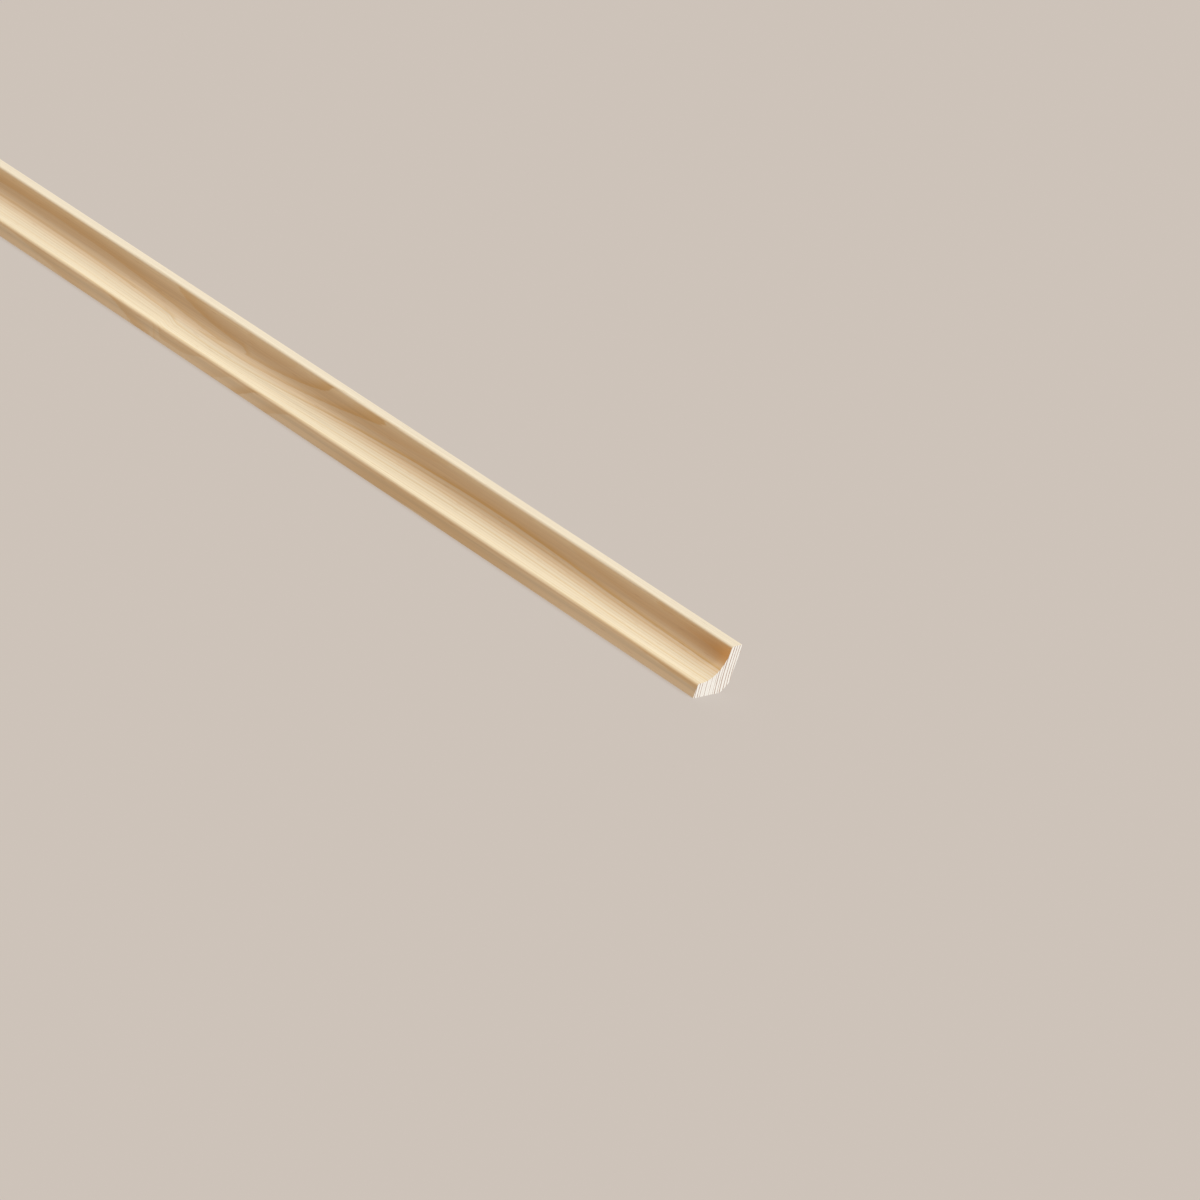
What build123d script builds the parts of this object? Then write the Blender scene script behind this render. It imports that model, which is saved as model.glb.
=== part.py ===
# Scotia moulding: one planed pine strip with a hollow front, sold as stock for the corner
# between a floor and a skirting board. It lies on its floor face, hollow side forward (-Y) and up (+Z).
import os

from build123d import *

# Driving dimensions, in millimetres
length = 2400.0
section_width = 18.0
section_height = 18.0
top_lip_width = 5.6
front_lip_height = 5.6
lip_land = 2.0
back_chamfer = 3.2
chamfer_blend_radius = 1.5
arris_radius = 0.5
hollow_edge_radius = 1.2

# Section places, in the plane across the strip: (Y, Z), with the floor face on Z = 0
front_y = -section_width / 2
back_y = section_width / 2
hollow_back_y = back_y - top_lip_width
top_z = section_height

# The hollow is a quarter round that runs out into a short straight land behind each lip
hollow_depth = min(hollow_back_y - front_y, top_z - front_lip_height)
cove_radius = hollow_depth - lip_land

floor_front = (front_y, 0)
front_lip_edge = (front_y, front_lip_height)
hollow_corner = (hollow_back_y, front_lip_height)
top_lip_edge = (hollow_back_y, top_z)
wall_top = (back_y, top_z)
chamfer_top = (back_y, back_chamfer)
chamfer_foot = (back_y - back_chamfer, 0)


def at_corners(sketch, places):
    """The sketch's vertices that lie at the given section places."""
    wanted = [Vector(0, y, z) for y, z in places]
    return [v for v in sketch.vertices() if any((Vector(v) - w).length < 1e-6 for w in wanted)]


def scotia_section():
    """The strip's cross-section: an angle of two legs, its inner corner hollowed and its edges eased."""
    corners = [
        floor_front,
        front_lip_edge,
        hollow_corner,
        top_lip_edge,
        wall_top,
        chamfer_top,
        chamfer_foot,
    ]
    section = Plane.YZ * make_face(Polyline(*corners, close=True))
    section = fillet(at_corners(section, [hollow_corner]), cove_radius)
    section = fillet(at_corners(section, [chamfer_top, chamfer_foot]), chamfer_blend_radius)
    section = fillet(at_corners(section, [front_lip_edge, top_lip_edge]), hollow_edge_radius)
    return fillet(at_corners(section, [floor_front, wall_top]), arris_radius)


scotia_moulding = extrude(scotia_section(), amount=length / 2, both=True)

os.makedirs("parts", exist_ok=True)
export_step(scotia_moulding, "parts/scotia_moulding.step")
print("cove radius", round(cove_radius, 2), "volume", round(scotia_moulding.volume), "mm3")
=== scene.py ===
# %% [markdown]
# # A length of pine scotia
# A scotia is a strip of softwood with a hollow front, planed to trim the corner between a floor and a
# skirting board. This lesson dresses the measured solid of one 2.4 m length: a finely meshed strip with two
# sawn ends, and one material that grows its rings through the whole block, so that every face shows the
# grain that its own cut would show.

# %% Load the measured strip
import math

import bpy
import numpy as np
from mathutils import Matrix, Vector


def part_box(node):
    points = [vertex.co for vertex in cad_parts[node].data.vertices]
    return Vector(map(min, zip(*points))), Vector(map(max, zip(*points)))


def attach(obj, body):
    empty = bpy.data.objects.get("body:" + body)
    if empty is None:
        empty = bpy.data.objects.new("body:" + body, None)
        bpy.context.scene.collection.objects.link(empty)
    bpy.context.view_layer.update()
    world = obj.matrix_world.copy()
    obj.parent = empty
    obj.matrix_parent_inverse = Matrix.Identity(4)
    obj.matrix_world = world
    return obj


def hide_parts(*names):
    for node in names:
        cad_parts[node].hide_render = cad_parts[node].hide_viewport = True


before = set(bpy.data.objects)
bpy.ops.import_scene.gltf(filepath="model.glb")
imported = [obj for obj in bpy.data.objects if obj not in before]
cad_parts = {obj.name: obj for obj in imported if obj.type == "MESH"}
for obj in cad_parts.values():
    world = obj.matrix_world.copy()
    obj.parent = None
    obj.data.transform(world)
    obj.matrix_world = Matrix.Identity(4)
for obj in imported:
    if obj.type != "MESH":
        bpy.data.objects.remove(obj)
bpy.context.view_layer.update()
node_name = "scotia_moulding"
low, high = (Vector(corner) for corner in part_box(node_name))
print("strip, in millimetres:", [round(side * 1000, 1) for side in high - low])

# %% [markdown]
# ## The section
# The planer cuts the same section all along the strip: two legs at a right angle, a quarter-round hollow
# that runs out into a short flat land behind each lip, eased edges, rounder ones beside the hollow, and a
# back corner that is cut off so that the strip sits tight in a rough corner. The outer size comes from the
# loaded solid, and the rest are the sizes of the cutter, in metres, with the floor face at height 0.

# %% Sizes of the section
MM = 0.001
length = high.x - low.x
top_lip_width = 5.6 * MM
front_lip_height = 5.6 * MM
lip_land = 2.0 * MM
back_chamfer = 3.2 * MM
chamfer_blend_radius = 1.5 * MM
arris_radius = 0.5 * MM
hollow_edge_radius = 1.2 * MM

hollow_back_y = high.y - top_lip_width
cove_radius = hollow_back_y - low.y - lip_land
print("cove radius, in millimetres:", round(cove_radius / MM, 2))

# %% [markdown]
# ## Helpers for node trees
# Geometry Nodes and shader nodes share most of their arithmetic. One helper adds a node and feeds its
# inputs, either with a plain value or with a link from another node, and the others write a sum in one
# line. With them the growth rings below can be built in both kinds of tree from the same words.

# %% Node helpers
def add_node(tree, kind, inputs=None, **settings):
    """Adds a node to a tree, sets its properties, then feeds its inputs by name or by number."""
    node = tree.nodes.new(kind)
    for name, value in settings.items():
        setattr(node, name, value)
    for key, value in (inputs or {}).items():
        if isinstance(value, bpy.types.NodeSocket):
            tree.links.new(value, node.inputs[key])
        else:
            node.inputs[key].default_value = value
    return node


def calc(tree, operation, *values):
    """One sum on plain numbers."""
    return add_node(tree, "ShaderNodeMath", dict(enumerate(values)), operation=operation).outputs[0]


def vector_calc(tree, operation, *values):
    """One sum on vectors."""
    return add_node(tree, "ShaderNodeVectorMath", dict(enumerate(values)), operation=operation).outputs[0]


def vector_length(tree, vector):
    """How long a vector is."""
    return add_node(tree, "ShaderNodeVectorMath", {0: vector}, operation="LENGTH").outputs["Value"]


def combine(tree, x, y, z):
    """Three numbers made into one vector."""
    return add_node(tree, "ShaderNodeCombineXYZ", {0: x, 1: y, 2: z}).outputs[0]


def separate(tree, vector):
    """One vector taken apart into three numbers."""
    return add_node(tree, "ShaderNodeSeparateXYZ", {0: vector}).outputs


def in_millimetres(tree, place):
    """A place in metres turned into millimetres."""
    return vector_calc(tree, "MULTIPLY", place, (1 / MM,) * 3)


helpers = [add_node, calc, vector_calc, vector_length, combine, separate, in_millimetres]
print("node helpers:", [helper.__name__ for helper in helpers])

# %% [markdown]
# ## Soft steps, bells and noise
# Wood has no hard numbers in it. These curves turn a distance into something natural: a step with an even
# slope, a bell that fades to both sides, and fractal noise that can be stretched along the fibre.

# %% Natural curves
def bell(tree, away):
    """1 where the distance is 0, fading to nothing at about 2."""
    return calc(tree, "EXPONENT", calc(tree, "MULTIPLY", calc(tree, "MULTIPLY", away, away), -1.0))


def smooth_range(tree, value, start, end, to_start=0.0, to_end=1.0):
    """A soft step: to_start up to start, to_end from end on, and an even curve between."""
    inputs = {"Value": value, "From Min": start, "From Max": end, "To Min": to_start, "To Max": to_end}
    return add_node(tree, "ShaderNodeMapRange", inputs, interpolation_type="SMOOTHSTEP").outputs["Result"]


def noise(tree, place, scale, detail=2.0, roughness=0.5):
    """Fractal noise between 0 and 1, with a scale for each axis."""
    stretched = vector_calc(tree, "MULTIPLY", place, scale)
    inputs = {"Vector": stretched, "Scale": 1.0, "Detail": detail, "Roughness": roughness}
    return add_node(tree, "ShaderNodeTexNoise", inputs).outputs[0]


def fibre_scale(size):
    """The scale of a noise whose marks have this size along and across the fibre, in millimetres."""
    along, across = size
    return 1 / along, 1 / across, 1 / across


print("natural curves:", [curve.__name__ for curve in (bell, smooth_range, noise, fibre_scale)])

# %% [markdown]
# ## The years of the tree
# A pine board is a slice of nested cones, one for each year. The pith of this trunk lay far behind the wall
# face, so the years are counted outwards from there. Their ends are read off the sawn end: wide years at
# the wall, slow and narrow ones under the hollow, and wide ones again at the front. A curve through these
# ends turns any depth into a count of years, and a ramp with one flat step a year looks up how the wood of
# each year differs.

# %% Years
pith_y, pith_z = 95.0, 19.0    # place of the pith in the section, in millimetres
# Where each year's wood ends, in millimetres out from the wall of the hollow
year_ends = [-12.0, -10.0, -8.0, -6.4, -5.1, -3.8, -2.5, -1.1, 0.65, 1.6, 3.15, 4.1, 5.1, 6.1, 7.1, 8.5,
             9.6, 10.85, 12.1, 13.6, 15.9, 18.0, 20.0]
year_count = len(year_ends) - 1
# How brown each year's late wood is, on the planed faces and on the sawn ends
planed_strength = ([0.3] * 5 + [0.05, 1.0, 0.85, 0.1, 1.0] + [0.65, 0.35] * 3
                   + [0.2, 0.6, 0.3, 0.3, 0.3, 0.3])
sawn_strength = [1.0] * 10 + [0.8, 0.25] * 3 + [1.0] * 6


def years_to(tree, depth):
    """Counts the years up to a depth, along a curve through the ends of the years."""
    first, last = year_ends[0], year_ends[-1]
    share = calc(tree, "DIVIDE", calc(tree, "SUBTRACT", depth, first), last - first)
    node = add_node(tree, "ShaderNodeFloatCurve", {"Value": share})
    points = node.mapping.curves[0].points
    for year in range(1, year_count):
        points.new((year_ends[year] - first) / (last - first), year / year_count)
    for point in points:
        point.handle_type = "VECTOR"
    node.mapping.update()
    return calc(tree, "MULTIPLY", node.outputs[0], year_count)


def by_year(tree, year, colours):
    """Looks up one colour for each year."""
    share = calc(tree, "DIVIDE", calc(tree, "ADD", year, 0.5), len(colours))
    node = add_node(tree, "ShaderNodeValToRGB", {"Fac": share})
    node.color_ramp.interpolation = "CONSTANT"
    steps = node.color_ramp.elements
    steps[1].position = 1 / len(colours)
    for number in range(2, len(colours)):
        steps.new(number / len(colours))
    for step, colour in zip(steps, colours):
        step.color = colour
    return node.outputs["Color"]


print("years in the section:", year_count, "strengths:", len(planed_strength), len(sawn_strength))

# %% [markdown]
# ## Bends of the grain
# A trunk leans, and its branches push the grain aside, so the rings do not run straight along the strip.
# Near the right-hand end the bends are placed one by one, to give the wall of the hollow its slow waves and
# the sharp fold that a small knot behind the face leaves. The bends lean: the further in front of the wall,
# the further along the strip they lie, and the deeper the fold is. Past them the grain is left to chance,
# and a fine ripple and the fibres themselves roughen every line a little.

# %% Bends
# Place from the right-hand end, reach and sideways shift, in millimetres
grain_bends = [(105.0, 70.0, 1.9), (231.0, 45.0, -2.5)]
bend_lean = 2.0               # along the strip for each millimetre in front of the wall
# A fold where the grain sags slowly and springs back: its start, deepest place, end and shift, and how much
# more it shifts for each millimetre in front of the wall
fold_start, fold_bottom, fold_end, fold_shift, fold_growth = 166.0, 229.0, 236.0, -0.95, 0.08
# How far in front of the wall the spring back starts to lag and lags most, and by how much along the strip
lag_from, lag_to, fold_lag = 1.4, 4.2, 34.0
# Where chance takes over, from the right-hand end, and the most that it shifts the grain
wild_from, wild_to, wild_shift = 280.0, 460.0, 8.0
# Size of the noise along and across the fibre, and its sideways shift, in millimetres
wild_size, ripple_size, fibre_size = (150.0, 70.0), (26.0, 7.0), (9.0, 0.45)
ripple_shift, fibre_shift = 0.3, 0.22


def wander(tree, in_mm, size, detail):
    """Noise around 0 that is longer along the strip than across it."""
    return calc(tree, "SUBTRACT", noise(tree, in_mm, fibre_scale(size), detail), 0.5)


def from_right_end(tree, x):
    """How far a place lies from the right-hand end."""
    return calc(tree, "SUBTRACT", high.x / MM, x)


def grain_shift(tree, in_mm):
    """How far the grain lies sideways at a place."""
    x, y = separate(tree, in_mm)[:2]
    from_end = from_right_end(tree, x)
    wild = smooth_range(tree, from_end, wild_from, wild_to, 0.0, wild_shift)
    shift = calc(tree, "MULTIPLY", wander(tree, in_mm, wild_size, 1.0), wild)
    in_front = calc(tree, "SUBTRACT", hollow_back_y / MM, y)
    leaning = calc(tree, "MULTIPLY_ADD", in_front, -bend_lean, from_end)
    for middle, reach, size in grain_bends:
        away = calc(tree, "DIVIDE", calc(tree, "SUBTRACT", leaning, middle), reach)
        shift = calc(tree, "MULTIPLY_ADD", bell(tree, away), size, shift)
    sag = smooth_range(tree, leaning, fold_start, fold_bottom, 0.0, fold_shift)
    lag = smooth_range(tree, in_front, lag_from, lag_to, 0.0, fold_lag)
    spring = smooth_range(tree, calc(tree, "SUBTRACT", from_end, lag), fold_bottom, fold_end, 1.0, 0.0)
    sag = calc(tree, "MULTIPLY", sag, calc(tree, "MULTIPLY_ADD", in_front, fold_growth, 1.0))
    shift = calc(tree, "MULTIPLY_ADD", sag, spring, shift)
    shift = calc(tree, "MULTIPLY_ADD", wander(tree, in_mm, ripple_size, 1.0), ripple_shift, shift)
    return calc(tree, "MULTIPLY_ADD", wander(tree, in_mm, fibre_size, 2.0), fibre_shift, shift)


print("placed bends:", len(grain_bends), "and a fold of", fold_shift, "millimetres")

# %% [markdown]
# ## The ring field
# Painted stripes would never match at the corners of the strip, so the rings are a field in space: the
# distance from the pith, shifted by the bends and counted in years. What is left after the whole years says
# how far a point is through its ring. In each ring the brown late wood comes on slowly and ends at a sharp
# line, where growth stopped until the next spring.

# %% Rings
# How far through a ring its late wood starts, planed and sawn, and where it is ripe and breaks off
planed_start, sawn_start = 0.36, 0.55
ripe_at, stop_at = 0.94, 0.965


def ring_field(tree, place):
    """Returns how far each point is through its ring, 0 to 1, and the number of its year."""
    in_mm = in_millimetres(tree, place)
    y, z = separate(tree, in_mm)[1:]
    across = calc(tree, "SUBTRACT", calc(tree, "SUBTRACT", y, grain_shift(tree, in_mm)), pith_y)
    radius = vector_length(tree, combine(tree, 0.0, across, calc(tree, "SUBTRACT", z, pith_z)))
    years = years_to(tree, calc(tree, "SUBTRACT", radius, pith_y - hollow_back_y / MM))
    return calc(tree, "FRACT", years), calc(tree, "FLOOR", years)


def late_wood(tree, through_ring, year, strengths, start):
    """How brown the wood is at a point, 0 to 1."""
    ripening = smooth_range(tree, through_ring, start, ripe_at)
    late = calc(tree, "MULTIPLY", ripening, smooth_range(tree, through_ring, stop_at, 1.0, 1.0, 0.0))
    greys = [(strength, strength, strength, 1.0) for strength in strengths]
    return calc(tree, "MULTIPLY", late, by_year(tree, year, greys))


print("late wood starts, planed and sawn:", planed_start, sawn_start)

# %% [markdown]
# ## Planed faces
# The finish is bare planed wood: cream early wood, orange-brown late wood, silky streaks along the fibre and
# a few fine resin lines. Over it lies painted light and shade, face by face: lighter at the inner edge of
# the top, the foot of the wall and the upper and lower front lip, darker and warmer on the wall of the
# hollow and the front edge, darker in the middle of the front lip, and a touch darker on the top and the
# floor of the hollow. The late wood also fades out on the top as a painted highlight. Every value is read
# from Object coordinates, which makes the pattern solid: it runs round the edges without a seam.

# %% Early and late wood
early_colour = (0.90, 0.78, 0.58, 1.0)
late_colour = (0.75, 0.48, 0.15, 1.0)
ripe_share, late_share = 0.08, 0.6
# Painted light and shade on the faces: the place across and up in the section, the reach in both, and the
# factor of the colour
painted_face_shading = {
    "top": ((6.5, 18.0), (5.0, 0.8), (0.975, 0.965, 0.985, 1.0)),
    "top inner edge": ((3.6, 17.3), (1.6, 1.3), (1.10, 1.13, 1.14, 1.0)),
    "wall": ((3.4, 12.5), (2.5, 4.0), (0.92, 0.87, 0.83, 1.0)),
    "foot of the wall": ((0.5, 8.6), (2.5, 2.0), (1.06, 1.0, 0.95, 1.0)),
    "floor of the hollow": ((-4.5, 6.0), (3.0, 2.0), (1.0, 0.97, 0.93, 1.0)),
    "front edge": ((-9.0, 5.6), (1.4, 1.1), (0.95, 0.87, 0.76, 1.0)),
    "upper front lip": ((-9.0, 4.5), (0.8, 1.0), (1.10, 1.11, 1.12, 1.0)),
    "middle of the front lip": ((-9.0, 3.2), (0.8, 0.7), (0.93, 0.94, 0.95, 1.0)),
    "lower front lip": ((-9.0, 1.0), (0.8, 1.4), (1.10, 1.11, 1.12, 1.0)),
}
# Where late wood gets fainter or stronger, and how much: up to the top, where it fades as a painted
# highlight, away from the right-hand end, and out to the front lip
lit_top_from, lit_top_to, lit_top_late = 16.8, 17.8, 0.2
far_from, far_to, far_late = 150.0, 240.0, 0.55
front_from, front_to, front_late = -8.3, -8.95, 1.5
# A patch of the wall with hardly any: its place from the right-hand end, across and up, its reach and loss
plain_place, plain_reach, plain_loss = (20.0, 3.4, 15.5), (26.0, 3.0, 3.5), 0.85


def blend_colour(tree, amount, first, second, mode="MIX"):
    """Two colours mixed by an amount."""
    inputs = {0: amount, 6: first, 7: second}
    return add_node(tree, "ShaderNodeMix", inputs, data_type="RGBA", blend_type=mode).outputs[2]


def shaded(tree, colour, shade):
    """A colour times a number."""
    return blend_colour(tree, 1.0, colour, combine(tree, shade, shade, shade), "MULTIPLY")


def nearness(tree, in_mm, place, reach):
    """1 at a place, and less the further away a point is for this reach along each axis."""
    away = vector_calc(tree, "DIVIDE", vector_calc(tree, "SUBTRACT", in_mm, place), reach)
    return bell(tree, vector_length(tree, away))


def ring_colour(tree, in_mm, late, through_ring):
    """Early wood with the painted light and shade of each face, and late wood that fades out on the top as a
    painted highlight.
    """
    x, y, z = separate(tree, in_mm)
    in_section = combine(tree, 0.0, y, z)
    early = early_colour
    # Painted light and shade: each face is made lighter or darker, warmer or cooler, for how the light falls
    # on it
    for place, reach, tone in painted_face_shading.values():
        near = nearness(tree, in_section, (0.0, *place), (1.0, *reach))
        early = blend_colour(tree, near, early, tone, "MULTIPLY")
    from_end = from_right_end(tree, x)
    plain = nearness(tree, combine(tree, from_end, y, z), plain_place, plain_reach)
    late = calc(tree, "MULTIPLY", late, calc(tree, "MULTIPLY_ADD", plain, -plain_loss, 1.0))
    # Painted highlight: the late wood fades out on the top
    late = calc(tree, "MULTIPLY", late, smooth_range(tree, z, lit_top_from, lit_top_to, 1.0, lit_top_late))
    late = calc(tree, "MULTIPLY", late, smooth_range(tree, from_end, far_from, far_to, 1.0, far_late))
    late = calc(tree, "MULTIPLY", late, smooth_range(tree, y, front_to, front_from, front_late, 1.0))
    ripe = calc(tree, "MULTIPLY_ADD", through_ring, ripe_share, calc(tree, "MULTIPLY", late, late_share))
    return blend_colour(tree, ripe, early, late_colour)


print("tones of faces:", len(painted_face_shading), "early to late wood, in red:", early_colour[0], late_colour[0])

# %% [markdown]
# ## Fibre, resin and the glow beside a cut
# Over the rings lie the marks of the fibre: streaks a third of a millimetre wide, slow patches, and short
# dark lines where resin canals were cut open. Light also runs along the fibres of pine, so beside a cut end
# the shaded wood glows orange, most of all in the last few millimetres.

# %% Colour along the grain
# Size of the marks along and across the fibre, in millimetres
streak_size, patch_size, resin_size = (45.0, 1 / 3), (140.0, 9.0), (14.0, 0.9)
# The span of the noise that counts, and how dark and how light it makes the wood
streak_span, streak_tones = (0.25, 0.75), (0.93, 1.04)
patch_span, patch_tones = (0.3, 0.7), (0.965, 1.02)
resin_colour, resin_share = (0.52, 0.28, 0.10, 1.0), 0.3
resin_core, resin_rim = 0.06, 0.14    # where a resin line is full and where it ends, in its own size
# The glows: place across and up in the section, reach along, across and up in millimetres, colour and share
glows = [
    ((3.0, 14.5), (45.0, 3.5, 4.0), (0.62, 0.40, 0.22, 1.0), 0.22),
    ((3.0, 14.8), (16.0, 3.5, 3.6), (0.68, 0.36, 0.10, 1.0), 0.55),
    ((3.0, 14.5), (4.0, 3.5, 4.5), (1.0, 0.62, 0.26, 1.0), 0.75),
]


def planed_colour(tree, in_mm, late, through_ring, streaks):
    """Rings, fibre streaks, patches, resin lines, and the glow beside a cut."""
    colour = ring_colour(tree, in_mm, late, through_ring)
    patches = noise(tree, in_mm, fibre_scale(patch_size))
    streak_shade = smooth_range(tree, streaks, *streak_span, *streak_tones)
    patch_shade = smooth_range(tree, patches, *patch_span, *patch_tones)
    colour = shaded(tree, colour, calc(tree, "MULTIPLY", streak_shade, patch_shade))
    cells = vector_calc(tree, "MULTIPLY", in_mm, fibre_scale(resin_size))
    resin = add_node(tree, "ShaderNodeTexVoronoi", {"Vector": cells, "Scale": 1.0}).outputs["Distance"]
    resin = smooth_range(tree, resin, resin_core, resin_rim, resin_share, 0.0)
    colour = blend_colour(tree, resin, colour, resin_colour)
    x, y, z = separate(tree, in_mm)
    either_end = combine(tree, calc(tree, "ABSOLUTE", x), y, z)
    for place, reach, glow_colour, share in glows:
        below_top = smooth_range(tree, z, lit_top_from, lit_top_to, share, 0.0)
        glow = calc(tree, "MULTIPLY", nearness(tree, either_end, (high.x / MM, *place), reach), below_top)
        colour = blend_colour(tree, glow, colour, glow_colour)
    return colour


print("glows beside a cut:", len(glows))

# %% [markdown]
# ## Sawn ends
# Where the saw cut across the fibre, the open ends scatter more light, so the same rings look paler there,
# with thin reddish lines, and a fine fuzz of torn fibre breaks them up.

# %% Colour of the ends
end_early_colour = (0.97, 0.905, 0.815, 1.0)
end_late_colour = (0.36, 0.18, 0.10, 1.0)
torn_size = (0.5, 0.2)                # size of the fuzz along and across the fibre, in millimetres
# The span of the fuzz that counts, and how much of the late wood it leaves, or how dark and light it is
late_span, late_left = (0.2, 0.8), (0.8, 1.0)
torn_span, torn_tones = (0.25, 0.75), (0.95, 1.03)


def sawn_colour(tree, through_ring, year, fuzz):
    """Rings across the fibre, broken up by the fuzz of the saw cut."""
    late = late_wood(tree, through_ring, year, sawn_strength, sawn_start)
    brown = calc(tree, "MULTIPLY", late, smooth_range(tree, fuzz, *late_span, *late_left))
    colour = blend_colour(tree, brown, end_early_colour, end_late_colour)
    return shaded(tree, colour, smooth_range(tree, fuzz, *torn_span, *torn_tones))


print("sawn ends, early to late wood, in red:", end_early_colour[0], end_late_colour[0])

# %% [markdown]
# ## One material for both
# The strip is one piece, so it has one material. A note that the mesh carries on its faces picks between
# the planed and the sawn finish. Planed late wood is a little glossier than early wood, a sawn face is dull,
# and a very shallow bump lets the fibres catch the light.

# %% Pine material
early_roughness, late_roughness, sawn_roughness = 0.62, 0.5, 0.9
bump_depth, bump_strength = 0.06 * MM, 0.6
late_rise, streak_rise = 0.4, 0.6     # how much late wood and the streaks stand up, in shares of the bump
sheen = 0.2


def planed_pine():
    """The material of the whole strip."""
    material = bpy.data.materials.new("planed_pine")
    material.use_nodes = True
    tree = material.node_tree
    shader = tree.nodes["Principled BSDF"]
    place = add_node(tree, "ShaderNodeTexCoord").outputs["Object"]
    in_mm = in_millimetres(tree, place)
    through_ring, year = ring_field(tree, place)
    late = late_wood(tree, through_ring, year, planed_strength, planed_start)
    streaks = noise(tree, in_mm, fibre_scale(streak_size), detail=3.0, roughness=0.6)
    fuzz = noise(tree, in_mm, fibre_scale(torn_size), detail=3.0, roughness=0.7)
    sawn = add_node(tree, "ShaderNodeAttribute", attribute_name="sawn_end").outputs["Fac"]

    planed = planed_colour(tree, in_mm, late, through_ring, streaks)
    colour = blend_colour(tree, sawn, planed, sawn_colour(tree, through_ring, year, fuzz))
    tree.links.new(colour, shader.inputs["Base Color"])
    planed_roughness = smooth_range(tree, late, 0.0, 1.0, early_roughness, late_roughness)
    roughness = add_node(tree, "ShaderNodeMix", {0: sawn, 2: planed_roughness, 3: sawn_roughness})
    tree.links.new(roughness.outputs[0], shader.inputs["Roughness"])
    raised = calc(tree, "MULTIPLY_ADD", late, late_rise, calc(tree, "MULTIPLY", streaks, streak_rise))
    relief = add_node(tree, "ShaderNodeMix", {0: sawn, 2: raised, 3: fuzz}).outputs[0]
    inputs = {"Strength": bump_strength, "Distance": bump_depth, "Height": relief}
    tree.links.new(add_node(tree, "ShaderNodeBump", inputs).outputs[0], shader.inputs["Normal"])
    shader.inputs["Specular IOR Level"].default_value = sheen
    return material


pine = planed_pine()
print("pine nodes:", len(pine.node_tree.nodes))

# %% [markdown]
# ## A cube bent into a moulding
# The whole strip is one block, so it starts as one cube with many cuts. A rule then moves each of its
# points: one direction of the cube runs along the strip, one goes round the bend from the top lip to the
# front lip, and one goes through the leg from the hollow to the back. A profile swept along a curve would
# also do, but its ends would be single flat faces. The cube stays closed and all quads, also on the ends,
# where it is fine enough to hold the marks of the saw. Each point first notes where it sat in the cube.

# %% Noted cube
note_names = ["along", "through", "round"]


def read_note(tree, name):
    """Reads back what was stored on the points."""
    return add_node(tree, "GeometryNodeInputNamedAttribute", {"Name": name}).outputs[0]


def crowded(tree, share):
    """Even steps from 0 to 1 made fine at both ends, where the edges are round."""
    turn = calc(tree, "COSINE", calc(tree, "MULTIPLY", share, math.pi))
    return calc(tree, "MULTIPLY_ADD", turn, -0.5, 0.5)


def noted_cube(tree, given):
    """A finely cut cube whose points know their place, 0 to 1, along, through and round the strip."""
    inputs = {"Size": (1, 1, 1), "Vertices X": given["Cuts Along"], "Vertices Y": given["Cuts Through"],
              "Vertices Z": given["Cuts Round"]}
    mesh = add_node(tree, "GeometryNodeMeshCube", inputs).outputs["Mesh"]
    position = add_node(tree, "GeometryNodeInputPosition").outputs[0]
    along, through, turned = separate(tree, vector_calc(tree, "ADD", position, (0.5, 0.5, 0.5)))
    for name, value in zip(note_names, (along, crowded(tree, through), crowded(tree, turned))):
        inputs = {"Geometry": mesh, "Name": name, "Value": value}
        mesh = add_node(tree, "GeometryNodeStoreNamedAttribute", inputs, domain="POINT").outputs[0]
    return mesh


print("notes on the cube:", note_names)

# %% [markdown]
# ## Two lines that bound the section
# The hollow line runs from the top lip through the cove to the front lip, and the back line from the top
# down the wall face, over the cut corner and along the floor face. Both are drawn through their square
# corners, and Fillet Curve rounds them, as the cutter does. Every point of the cube will lie on a straight
# rung between the two.

# %% Lines of the section
fillet_steps = 96
hollow_names = ["top_inner", "hollow", "front_upper"]
back_names = ["top_outer", "chamfer_top", "chamfer_foot", "front_lower"]


def section_corners(tree, given):
    """The square corners of the section, before any of them is rounded."""
    front, back, height, lip = (given[name] for name in ("Front", "Back", "Height", "Front Lip"))
    hollow_back = calc(tree, "SUBTRACT", back, given["Top Lip"])
    foot = calc(tree, "SUBTRACT", back, given["Back Chamfer"])
    places = [(hollow_back, height), (hollow_back, lip), (front, lip),
              (back, height), (back, given["Back Chamfer"]), (foot, 0.0), (front, 0.0)]
    return {name: combine(tree, 0.0, *place) for name, place in zip(hollow_names + back_names, places)}


def bent_line(tree, corners, radius):
    """A line through a few corners of the section, with its inner corners rounded."""
    points = add_node(tree, "GeometryNodeMeshLine", {"Count": len(corners)})
    chosen = add_node(tree, "GeometryNodeIndexSwitch", data_type="VECTOR")
    while len(chosen.index_switch_items) < len(corners):
        chosen.index_switch_items.new()
    tree.links.new(add_node(tree, "GeometryNodeInputIndex").outputs[0], chosen.inputs["Index"])
    for number, corner in enumerate(corners):
        tree.links.new(corner, chosen.inputs[number + 1])
    inputs = {"Geometry": points.outputs[0], "Position": chosen.outputs[0]}
    placed = add_node(tree, "GeometryNodeSetPosition", inputs)
    curve = add_node(tree, "GeometryNodeMeshToCurve", {"Mesh": placed.outputs[0]})
    inputs = {"Curve": curve.outputs[0], "Radius": radius, "Count": fillet_steps}
    return add_node(tree, "GeometryNodeFilletCurve", inputs, mode="POLY").outputs[0]


def point_on(tree, curve, share):
    """The place at a share of the way along a line."""
    inputs = {"Curves": curve, "Factor": share}
    return add_node(tree, "GeometryNodeSampleCurve", inputs, mode="FACTOR").outputs["Position"]


print("corners of the two lines:", len(hollow_names), len(back_names))

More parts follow.
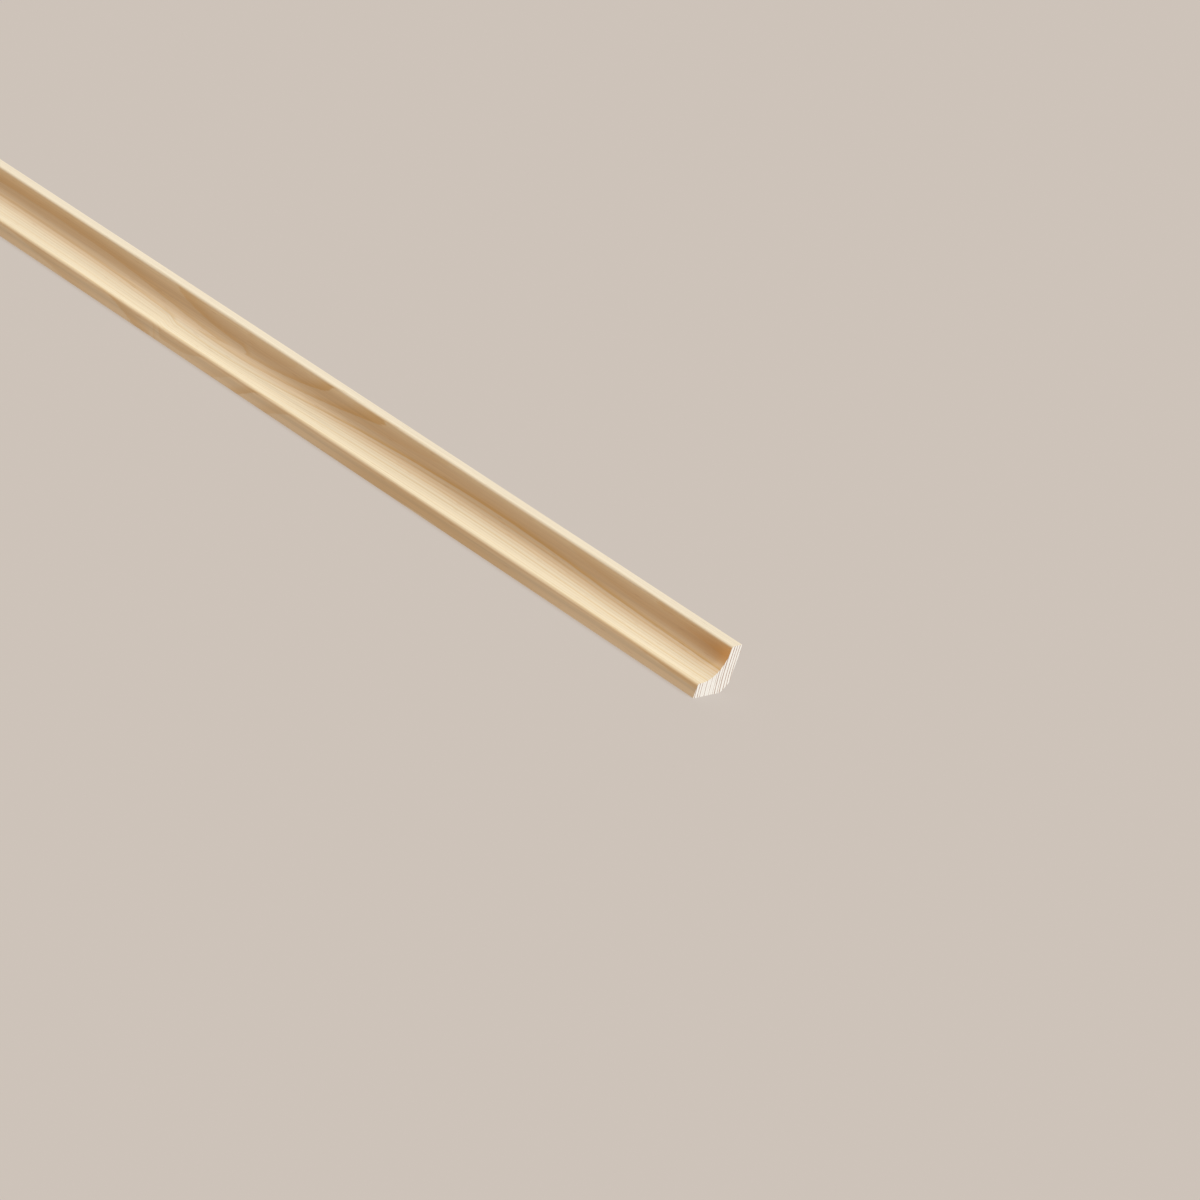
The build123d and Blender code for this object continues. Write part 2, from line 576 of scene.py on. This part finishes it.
# %% [markdown]
# ## Eased edges
# Sandpaper takes the sharpness off an edge. Here the small square at each corner of the section is pressed
# into a quarter disc: a point keeps its direction from the inner corner of that square, and its distance
# changes from the square's to the disc's. It is a node group, because the four edges all need it.

# %% Eased edges as a node group
tiny = 1e-9                   # metres, so that nothing is divided by 0


def group_sockets(tree, inputs, output):
    """Declares a group's inputs, as (name, type) pairs, and its one output."""
    made = {}
    for name, kind in inputs:
        made[name] = tree.interface.new_socket(name, in_out="INPUT", socket_type=kind)
    tree.interface.new_socket(output[0], in_out="OUTPUT", socket_type=output[1])
    return made


def eased_edge_group():
    """Rounds one square edge of the section."""
    tree = bpy.data.node_groups.new("eased_edge", "GeometryNodeTree")
    vector, number = "NodeSocketVector", "NodeSocketFloat"
    inputs = [("Place", vector), ("Corner", vector), ("Inward", vector), ("Radius", number)]
    group_sockets(tree, inputs, ("Place", vector))
    given = tree.nodes.new("NodeGroupInput").outputs
    radius = combine(tree, given["Radius"], given["Radius"], given["Radius"])
    depth = vector_calc(tree, "SUBTRACT", given["Place"], given["Corner"])
    depth = vector_calc(tree, "MULTIPLY", depth, given["Inward"])
    reach = vector_calc(tree, "MINIMUM", vector_calc(tree, "SUBTRACT", depth, radius), (0, 0, 0))
    reach = vector_calc(tree, "MULTIPLY", reach, (0, 1, 1))
    sideways = separate(tree, vector_calc(tree, "ABSOLUTE", reach))
    in_square = calc(tree, "MAXIMUM", sideways[1], sideways[2])
    in_disc = calc(tree, "MAXIMUM", vector_length(tree, reach), tiny)
    press = calc(tree, "SUBTRACT", calc(tree, "DIVIDE", in_square, in_disc), 1.0)
    move = vector_calc(tree, "MULTIPLY", reach, given["Inward"])
    move = vector_calc(tree, "MULTIPLY", move, combine(tree, press, press, press))
    out = tree.nodes.new("NodeGroupOutput")
    tree.links.new(vector_calc(tree, "ADD", given["Place"], move), out.inputs[0])
    return tree


eased_edge = eased_edge_group()
print("nodes to ease one edge:", len(eased_edge.nodes))

# %% [markdown]
# ## The bend itself
# Each point finds its rung, between the hollow line and the back line, and its place on that rung. Then the
# four edges are eased, and last the point moves along the strip to where it belongs.

# %% Bent place
# Each edge: its corner, the way into the wood, and the input that holds its radius
edges = [
    ("top_inner", (0, 1, -1), "Hollow Edge Radius"), ("top_outer", (0, -1, -1), "Edge Radius"),
    ("front_upper", (0, 1, -1), "Hollow Edge Radius"), ("front_lower", (0, 1, 1), "Edge Radius"),
]


def bent_place(tree, given):
    """Where each point of the cube goes."""
    corners = section_corners(tree, given)
    hollow_line = bent_line(tree, [corners[name] for name in hollow_names], given["Cove Radius"])
    back_line = bent_line(tree, [corners[name] for name in back_names], given["Chamfer Blend"])
    turned = read_note(tree, "round")
    rung_ends = {4: point_on(tree, hollow_line, turned), 5: point_on(tree, back_line, turned)}
    inputs = {0: read_note(tree, "through"), **rung_ends}
    place = add_node(tree, "ShaderNodeMix", inputs, data_type="VECTOR").outputs[1]
    for corner, inward, radius in edges:
        inputs = {"Place": place, "Corner": corners[corner], "Inward": inward, "Radius": given[radius]}
        place = add_node(tree, "GeometryNodeGroup", inputs, node_tree=eased_edge).outputs[0]
    x = calc(tree, "MULTIPLY", calc(tree, "SUBTRACT", read_note(tree, "along"), 0.5), given["Length"])
    return vector_calc(tree, "ADD", place, combine(tree, x, 0.0, 0.0))


print("edges to ease:", [corner for corner, inward, radius in edges])

# %% [markdown]
# ## Marks of the saw
# A cross-cut saw leaves shallow arcs, the soft early wood tears back further than the hard late wood, and
# the fibres along the back edge chip out where the blade leaves. All of it is real relief, at most a quarter
# of a millimetre deep, and always cut back from the plane of the end, so that the strip never grows.

# %% Sawn relief
saw_radius = 127 * MM         # the blade that cut the strip to length
saw_pitch = 1.3 * MM
spring_depth = 0.05 * MM      # how far soft early wood lies back from late wood
saw_depth = 0.03 * MM
fuzz_depth, fuzz_scale = 0.05 * MM, (2500, 2500, 2500)
chip_depth, chip_scale = 0.12 * MM, (700, 700, 700)
chip_from, chip_to = 0.52, 0.66    # levels of the noise where a chip starts and is whole
chip_edge = 0.9                    # how far through to the back the chips start
# How far along to an end a point counts as on it, and how far a sawn face has to face that way
on_end, faces_end = 0.9999, 0.5


def sawn_depth(tree, place, through, seed):
    """How far each point of an end lies back from the plane of the cut."""
    through_ring, year = ring_field(tree, place)
    late = late_wood(tree, through_ring, year, planed_strength, planed_start)
    depth = calc(tree, "MULTIPLY", calc(tree, "SUBTRACT", 1.0, late), spring_depth)
    from_axle = vector_calc(tree, "SUBTRACT", place, (0, -saw_radius, high.z))
    arc = vector_length(tree, vector_calc(tree, "MULTIPLY", from_axle, (0, 1, 1)))
    score = calc(tree, "SINE", calc(tree, "MULTIPLY", arc, 2 * math.pi / saw_pitch))
    depth = calc(tree, "MULTIPLY_ADD", calc(tree, "MULTIPLY_ADD", score, 0.5, 0.5), saw_depth, depth)
    chance = vector_calc(tree, "ADD", place, combine(tree, seed, seed, seed))
    fuzz = noise(tree, chance, fuzz_scale, detail=3.0, roughness=0.6)
    depth = calc(tree, "MULTIPLY_ADD", fuzz, fuzz_depth, depth)
    chip = smooth_range(tree, noise(tree, chance, chip_scale, detail=1.0), chip_from, chip_to)
    chip = calc(tree, "MULTIPLY", chip, smooth_range(tree, through, chip_edge, 1.0))
    return calc(tree, "MULTIPLY_ADD", chip, chip_depth, depth)


def sawn_ends(tree, mesh, seed):
    """Cuts the relief into both ends, and notes on each face whether it is sawn."""
    side = calc(tree, "MULTIPLY", calc(tree, "SUBTRACT", read_note(tree, "along"), 0.5), 2.0)
    at_end = calc(tree, "GREATER_THAN", calc(tree, "ABSOLUTE", side), on_end)
    place = add_node(tree, "GeometryNodeInputPosition").outputs[0]
    depth = sawn_depth(tree, place, read_note(tree, "through"), seed)
    back_off = calc(tree, "MULTIPLY", calc(tree, "MULTIPLY", depth, side), -1.0)
    inputs = {"Geometry": mesh, "Selection": at_end, "Offset": combine(tree, back_off, 0.0, 0.0)}
    sawn = add_node(tree, "GeometryNodeSetPosition", inputs).outputs[0]
    facing = separate(tree, add_node(tree, "GeometryNodeInputNormal").outputs[0])
    is_sawn = calc(tree, "GREATER_THAN", calc(tree, "ABSOLUTE", facing[0]), faces_end)
    inputs = {"Geometry": sawn, "Name": "sawn_end", "Value": is_sawn}
    return add_node(tree, "GeometryNodeStoreNamedAttribute", inputs, domain="FACE").outputs[0]


print("deepest mark, in millimetres:", round((spring_depth + saw_depth + fuzz_depth + chip_depth) / MM, 2))

# %% [markdown]
# ## The tree of the strip
# Now the parts go together. The sizes, the numbers of cuts and the seed are named inputs of the tree, so
# that the strip can be changed from the modifier panel like any parametric part.

# %% Strip tree
def strip_tree():
    """Builds the node tree of the strip, and returns it with its named inputs."""
    tree = bpy.data.node_groups.new("scotia_strip", "GeometryNodeTree")
    tree.is_modifier = True
    lengths = ["Length", "Front", "Back", "Height", "Top Lip", "Front Lip", "Cove Radius", "Back Chamfer",
               "Chamfer Blend", "Edge Radius", "Hollow Edge Radius"]
    counts = ["Cuts Along", "Cuts Through", "Cuts Round", "Seed"]
    inputs = [(name, "NodeSocketFloat") for name in lengths] + [(name, "NodeSocketInt") for name in counts]
    sockets = group_sockets(tree, inputs, ("Geometry", "NodeSocketGeometry"))
    given = tree.nodes.new("NodeGroupInput").outputs
    inputs = {"Geometry": noted_cube(tree, given), "Position": bent_place(tree, given)}
    bent = add_node(tree, "GeometryNodeSetPosition", inputs)
    marked = sawn_ends(tree, bent.outputs[0], given["Seed"])
    real = add_node(tree, "GeometryNodeRealizeInstances", {"Geometry": marked})
    dressed = add_node(tree, "GeometryNodeSetMaterial", {"Geometry": real.outputs[0], "Material": pine})
    out = tree.nodes.new("NodeGroupOutput")
    tree.links.new(dressed.outputs[0], out.inputs[0])
    return tree, sockets


tree, sockets = strip_tree()
print("strip tree nodes:", len(tree.nodes), "named inputs:", len(sockets))

# %% [markdown]
# ## From the modifier to a plain mesh
# A modifier is a recipe, and what leaves this file should be the result. The sizes are set by each socket's
# identifier, the evaluated object is copied into a plain mesh, and the modifier goes. The planed faces are
# then smooth, and the border of each sawn end stays sharp.

# %% Strip mesh
sizes = {
    "Length": length, "Front": low.y, "Back": high.y, "Height": high.z, "Top Lip": top_lip_width,
    "Front Lip": front_lip_height, "Cove Radius": cove_radius, "Back Chamfer": back_chamfer,
    "Chamfer Blend": chamfer_blend_radius, "Edge Radius": arris_radius,
    "Hollow Edge Radius": hollow_edge_radius, "Cuts Along": 121, "Cuts Through": 33, "Cuts Round": 97,
    "Seed": 4,
}
sharp_angle = math.radians(40)

strip = bpy.data.objects.new("planed_strip", bpy.data.meshes.new("strip_start"))
bpy.context.scene.collection.objects.link(strip)
modifier = strip.modifiers.new("scotia_strip", "NODES")
modifier.node_group = tree
for name, value in sizes.items():
    modifier[sockets[name].identifier] = value
depsgraph = bpy.context.evaluated_depsgraph_get()
strip_mesh = bpy.data.meshes.new_from_object(strip.evaluated_get(depsgraph))
strip.modifiers.remove(modifier)
strip.data = strip_mesh
strip_mesh.polygons.foreach_set("use_smooth", np.ones(len(strip_mesh.polygons), bool))
strip_mesh.set_sharp_from_angle(angle=sharp_angle)
print("strip faces:", len(strip_mesh.polygons), "points:", len(strip_mesh.vertices))

# %% [markdown]
# ## A flat layout for the export
# The export bakes the material onto pictures, and an automatic layout of something this long and thin would
# squeeze it into a thread. So the skin is unrolled as one would with paper: slit along the lower front edge,
# cut in two halfway along, and laid as two wide bands, with the sawn ends in a row above them.

# %% Unroll the skin
bands = 2
gap = 0.006                   # in shares of the layout's side, as the next is
ends_height = 0.17
same_note = 1e-6              # notes that are closer than this are the same


def corner_values(mesh):
    """The place of every face corner, and its notes from the cube, four corners to a face."""
    vertex = np.empty(len(mesh.loops), np.int32)
    mesh.loops.foreach_get("vertex_index", vertex)
    place = np.empty(len(mesh.vertices) * 3)
    mesh.vertices.foreach_get("co", place)
    note = {}
    for name in note_names:
        values = np.empty(len(mesh.vertices), np.float32)
        mesh.attributes[name].data.foreach_get("value", values)
        note[name] = values[vertex].reshape(-1, 4)
    return place.reshape(-1, 3)[vertex].reshape(-1, 4, 3), note


def unrolled(place, note):
    """Places every face corner on the flat layout."""
    def all_at(name, value):
        """The faces whose four corners share this value."""
        return (np.abs(note[name] - value) < same_note).all(1)

    hollow_length = 2 * lip_land + cove_radius * math.pi / 2
    back_length = 2 * (high.z - back_chamfer) + back_chamfer * math.sqrt(2)
    around = np.zeros_like(note["round"])
    girth = 0.0
    for faces, share, width in (
        (all_at("round", 1), 1 - note["through"], front_lip_height),
        (all_at("through", 0), 1 - note["round"], hollow_length),
        (all_at("round", 0), note["through"], top_lip_width),
        (all_at("through", 1), note["round"], back_length),
    ):
        around[faces] = girth + share[faces] * width
        girth += width
    band = np.minimum((note["along"].mean(1) * bands).astype(int), bands - 1)[:, None]
    band_height = (1 - ends_height - (bands + 2) * gap) / bands
    u = gap + (1 - 2 * gap) * (note["along"] * bands - band)
    v = gap + band * (band_height + gap) + band_height * around / girth
    side = high.y - low.y
    for end in (0, 1):
        faces = all_at("along", end)
        u[faces] = gap + end * (ends_height + gap) + ends_height * (place[faces][:, :, 1] - low.y) / side
        v[faces] = 1 - gap - ends_height + ends_height * place[faces][:, :, 2] / side
    return np.stack([u, v], -1).reshape(-1, 2)


layout = strip_mesh.uv_layers.new(name="OFBake", do_init=False)
flat = unrolled(*corner_values(strip_mesh))
layout.uv.foreach_set("vector", flat.astype(np.float32).ravel())
for name in note_names:
    strip_mesh.attributes.remove(strip_mesh.attributes[name])
print("layout bands:", bands, "from", flat.min(0).round(3), "to", flat.max(0).round(3))

# %% [markdown]
# ## Floor
# The strip lies on a plain pale floor, like the top of a light table: most of its light comes from below,
# so the strip keeps only a faint shadow, and the front lip is lit from under the edge.

# %% Pale floor
floor_colour = (0.57, 0.505, 0.45, 1.0)
floor_side = 120.0
floor_glow = 0.8              # the share of the floor's light that comes from below
glow_level = 1.08             # as bright as the lamp and the world make a floor that does not glow


def pale_floor():
    """A wide plain floor."""
    half = floor_side / 2
    mesh = bpy.data.meshes.new("pale_floor")
    corners = [(-half, -half, 0), (half, -half, 0), (half, half, 0), (-half, half, 0)]
    mesh.from_pydata(corners, [], [(0, 1, 2, 3)])
    material = bpy.data.materials.new("pale_floor")
    material.use_nodes = True
    inputs = material.node_tree.nodes["Principled BSDF"].inputs
    inputs["Base Color"].default_value = [part * (1 - floor_glow) for part in floor_colour[:3]] + [1.0]
    inputs["Emission Color"].default_value = floor_colour
    inputs["Emission Strength"].default_value = floor_glow * glow_level
    inputs["Roughness"].default_value = 1.0
    inputs["Specular IOR Level"].default_value = 0.0
    mesh.materials.append(material)
    floor = bpy.data.objects.new("pale_floor", mesh)
    bpy.context.scene.collection.objects.link(floor)
    return floor


floor = pale_floor()
print("floor side, in metres:", floor_side)

# %% [markdown]
# ## Light
# One broad lamp stands for a soft box above the strip, beyond its right-hand end and a little behind it, so
# the top, the floor of the hollow and the sawn end are bright, while the wall of the hollow and the front
# lip fall into soft shade. A sun lamp with a wide angle lights the whole length evenly. The world fills the
# shade with warm light, as from a room of wood and plaster, and its backdrop has the floor's own colour.

# %% Lamp and world
lamp_direction = Vector((0.55, 0.2, 0.77))
lamp_colour = (0.68, 0.86, 1.0)
lamp_strength = 3.7
lamp_angle = math.radians(20)
fill_colour = (1.0, 0.64, 0.36, 1.0)
fill_strength = 0.42

lamp = bpy.data.lights.new("soft_box", "SUN")
lamp.energy = lamp_strength
lamp.color = lamp_colour
lamp.angle = lamp_angle
lamp_object = bpy.data.objects.new("soft_box", lamp)
lamp_object.rotation_euler = lamp_direction.to_track_quat("Z", "Y").to_euler()
bpy.context.scene.collection.objects.link(lamp_object)

world = bpy.data.worlds.new("studio")
bpy.context.scene.world = world
world.use_nodes = True
world_tree = world.node_tree
world_tree.nodes.clear()
fill = add_node(world_tree, "ShaderNodeBackground", {"Color": fill_colour, "Strength": fill_strength})
backdrop = add_node(world_tree, "ShaderNodeBackground", {"Color": floor_colour, "Strength": glow_level})
ray = add_node(world_tree, "ShaderNodeLightPath").outputs
seen = calc(world_tree, "MAXIMUM", ray["Is Camera Ray"], ray["Is Transmission Ray"])
seen = calc(world_tree, "MAXIMUM", seen, ray["Is Glossy Ray"])
mixed = add_node(world_tree, "ShaderNodeMixShader", {0: seen, 1: fill.outputs[0], 2: backdrop.outputs[0]})
world_out = world_tree.nodes.new("ShaderNodeOutputWorld")
world_tree.links.new(mixed.outputs[0], world_out.inputs[0])
print("lamp elevation, in degrees:", round(math.degrees(math.asin(lamp_direction.normalized().z)), 1))

# %% [markdown]
# ## Camera
# The picture was taken with a long lens, from in front of the right-hand end, beyond it and above it, and
# with the camera tipped to one side, which makes the strip run up to the left. The aim is a point on the
# front of the strip near that end. The camera first looks at it level, and is then rolled about its own
# line of sight.

# %% Camera
lens, sensor_width = 148.18, 36.0    # millimetres
camera_place = Vector((high.x + 0.79621, high.y - 1.29324, 0.6444))
camera_aim = Vector((high.x - 0.0452, low.y - 0.0039, 0.0134))
camera_roll = math.radians(19.28)

camera_data = bpy.data.cameras.new("camera")
camera_data.lens = lens
camera_data.sensor_width = sensor_width
camera = bpy.data.objects.new("camera", camera_data)
bpy.context.scene.collection.objects.link(camera)
level = (camera_aim - camera_place).to_track_quat("-Z", "Y").to_matrix().to_4x4()
camera.matrix_world = Matrix.Translation(camera_place) @ level @ Matrix.Rotation(camera_roll, 4, "Z")
bpy.context.scene.camera = camera
bpy.context.scene.view_settings.view_transform = "Standard"
print("camera distance, in metres:", round((camera_aim - camera_place).length, 3))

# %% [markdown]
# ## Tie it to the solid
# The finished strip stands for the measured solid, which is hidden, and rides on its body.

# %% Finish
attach(strip, "root")
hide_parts(node_name)
